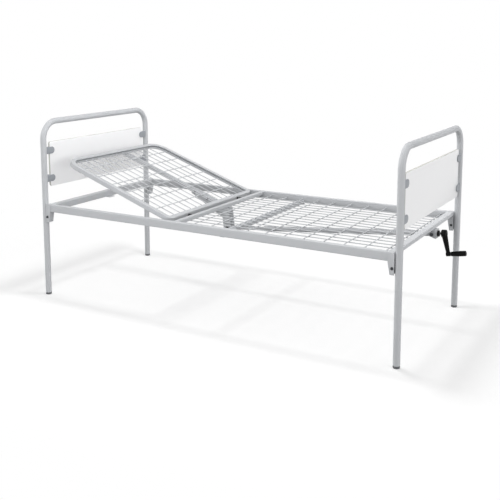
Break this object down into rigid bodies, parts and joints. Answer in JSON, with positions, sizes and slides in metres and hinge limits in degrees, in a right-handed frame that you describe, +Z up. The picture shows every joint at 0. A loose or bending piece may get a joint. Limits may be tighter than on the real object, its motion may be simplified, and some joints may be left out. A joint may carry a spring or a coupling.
{
  "type": "manual hospital bed",
  "caption": "Steel hospital bed with tubular end hoops, clipped-in panels, a welded wire mattress support and a backrest raised by a hand crank at the foot.",
  "frame": {"origin": "on the floor, under the middle of the bed's box, in the rest pose with the backrest partly raised", "axes": "+X from the head end to the foot end, +Y to the far side as seen in the picture, +Z up"},
  "size_m": [2.1646, 0.9412, 0.971],
  "materials": {
    "painted_steel": "light grey powder coat",
    "painted_wire": "light grey powder coat on welded wire",
    "panel_laminate": "smooth white laminate",
    "clip_plastic": "grey moulded plastic",
    "foot_cap_rubber": "dark grey tube ferrule",
    "black_plastic": "black moulded plastic",
    "zinc_steel": "zinc plated",
    "nut_brass": "turned brass"
  },
  "bodies": {
    "bed_frame": {"head_hoop": "painted_steel", "foot_hoop": "painted_steel", "head_near_foot_cap": "foot_cap_rubber", "head_far_foot_cap": "foot_cap_rubber", "foot_near_foot_cap": "foot_cap_rubber", "foot_far_foot_cap": "foot_cap_rubber", "head_panel": "panel_laminate", "foot_panel": "panel_laminate", "head_near_lower_clip": "clip_plastic", "head_near_upper_clip": "clip_plastic", "head_far_lower_clip": "clip_plastic", "head_far_upper_clip": "clip_plastic", "foot_near_lower_clip": "clip_plastic", "foot_near_upper_clip": "clip_plastic", "foot_far_lower_clip": "clip_plastic", "foot_far_upper_clip": "clip_plastic", "head_near_corner_bracket": "painted_steel", "head_far_corner_bracket": "painted_steel", "foot_near_corner_bracket": "painted_steel", "foot_far_corner_bracket": "painted_steel", "head_near_corner_bolt": "zinc_steel", "head_far_corner_bolt": "zinc_steel", "foot_near_corner_bolt": "zinc_steel", "foot_far_corner_bolt": "zinc_steel", "near_side_rail": "painted_steel", "far_side_rail": "painted_steel", "head_cross_member": "painted_steel", "foot_cross_member": "painted_steel", "hinge_cross_member": "painted_steel", "mesh_support_bar": "painted_steel", "backrest_stop": "painted_steel", "seat_mesh": "painted_wire", "near_hinge_ear": "painted_steel", "far_hinge_ear": "painted_steel", "near_hinge_pin": "zinc_steel", "far_hinge_pin": "zinc_steel", "guide_tube": "painted_steel", "guide_bush": "black_plastic", "crank_bracket": "painted_steel", "near_trunnion_bolt": "zinc_steel", "far_trunnion_bolt": "zinc_steel", "spindle_bush": "black_plastic"},
    "backrest": {"backrest_frame": "painted_steel", "backrest_mesh": "painted_wire", "backrest_spine": "painted_steel", "near_hinge_strap": "painted_steel", "far_hinge_strap": "painted_steel", "near_lever_plate": "painted_steel", "far_lever_plate": "painted_steel", "front_lever_bolt": "zinc_steel", "rear_lever_bolt": "zinc_steel"},
    "push_rod": {"push_tube": "painted_steel", "spindle_nut": "nut_brass", "drive_pin": "zinc_steel"},
    "crank": {"drive_screw": "zinc_steel", "crank_arm": "black_plastic", "grip_pin": "zinc_steel"},
    "grip": {"crank_grip": "black_plastic"}
  },
  "joints": [
    {"name": "backrest_hinge", "type": "hinge", "parent": "bed_frame", "child": "backrest", "pos_m": [-0.25232, 0, 0.4937], "axis": [0, 1, 0], "range_deg": [-19.5, 35.5]},
    {"name": "push_rod_slide", "type": "slide", "parent": "bed_frame", "child": "push_rod", "axis": [0.9954, 0, 0.0959], "range_m": [-0.0942, 0.052]},
    {"name": "crank_turn", "type": "hinge", "parent": "bed_frame", "child": "crank", "pos_m": [0.97168, 0.11, 0.474], "axis": [-0.9954, 0, -0.0959], "range_deg": [-1424, 2592]},
    {"name": "grip_spin", "type": "hinge", "parent": "crank", "child": "grip", "pos_m": [0.99526, 0.11, 0.37579], "axis": [0.9848, 0, 0.1737], "continuous": true}
  ],
  "couplings": [
    {"joint": "push_rod_slide", "follows": "backrest_hinge", "m_per_rad": -0.15105},
    {"joint": "crank_turn", "follows": "backrest_hinge", "ratio": 73}
  ]
}
